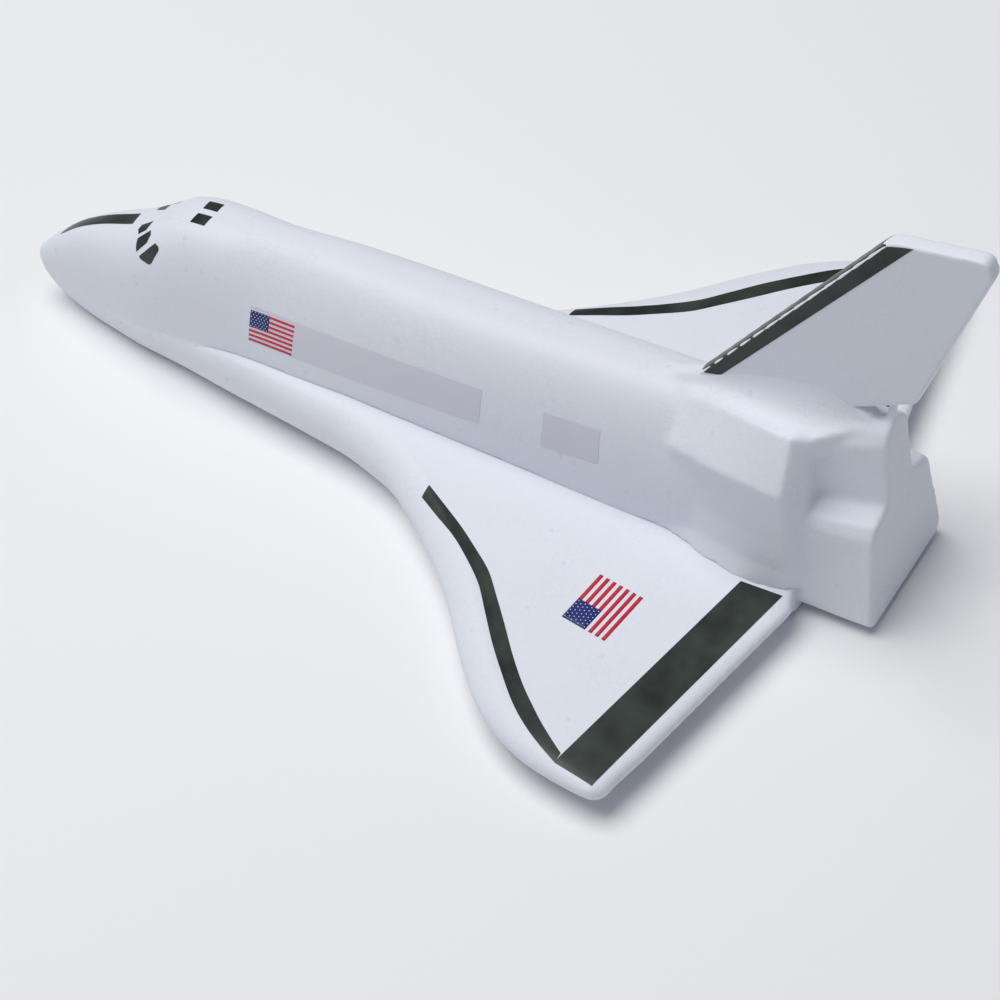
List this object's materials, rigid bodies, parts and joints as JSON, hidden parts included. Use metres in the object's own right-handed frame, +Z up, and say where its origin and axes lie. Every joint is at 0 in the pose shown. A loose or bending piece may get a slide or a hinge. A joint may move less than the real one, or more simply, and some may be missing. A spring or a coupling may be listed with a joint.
{
  "type": "foam space shuttle glider toy",
  "caption": "Hand-launched foam glider in the shape of a winged space shuttle, with a slotted tail fin, dark border stickers and a launch hook in its belly.",
  "frame": {"origin": "centre of the bounding box at the belly, on the plane of symmetry", "axes": "-Y out of the nose and +Y out of the tail, +X to port, +Z up"},
  "size_m": [0.1998, 0.3046, 0.116],
  "materials": {
    "foam": "moulded expanded polystyrene beads, soft sheen",
    "dark_sticker": "greenish black printed film, lightly glossy",
    "clear_film": "clear label film over the foam, lightly glossy",
    "white_plastic": "moulded white plastic",
    "weight_steel": "plain steel slug"
  },
  "bodies": {
    "root": {"wing_and_belly": "foam", "fuselage": "foam", "fin": "foam", "nose_stripe": "dark_sticker", "windscreen_front_left": "dark_sticker", "windscreen_front_right": "dark_sticker", "windscreen_corner_left": "dark_sticker", "windscreen_corner_right": "dark_sticker", "windscreen_side_left": "dark_sticker", "windscreen_side_right": "dark_sticker", "overhead_window_left": "dark_sticker", "overhead_window_right": "dark_sticker", "wing_border_left": "dark_sticker", "wing_border_right": "dark_sticker", "fin_stripe_left": "dark_sticker", "fin_stripe_right": "dark_sticker", "side_label_left": "clear_film", "side_label_right": "clear_film", "aft_label_left": "clear_film", "aft_label_right": "clear_film", "wing_flag": "clear_film", "launch_hook": "white_plastic", "nose_weight": "weight_steel"}
  },
  "joints": []
}
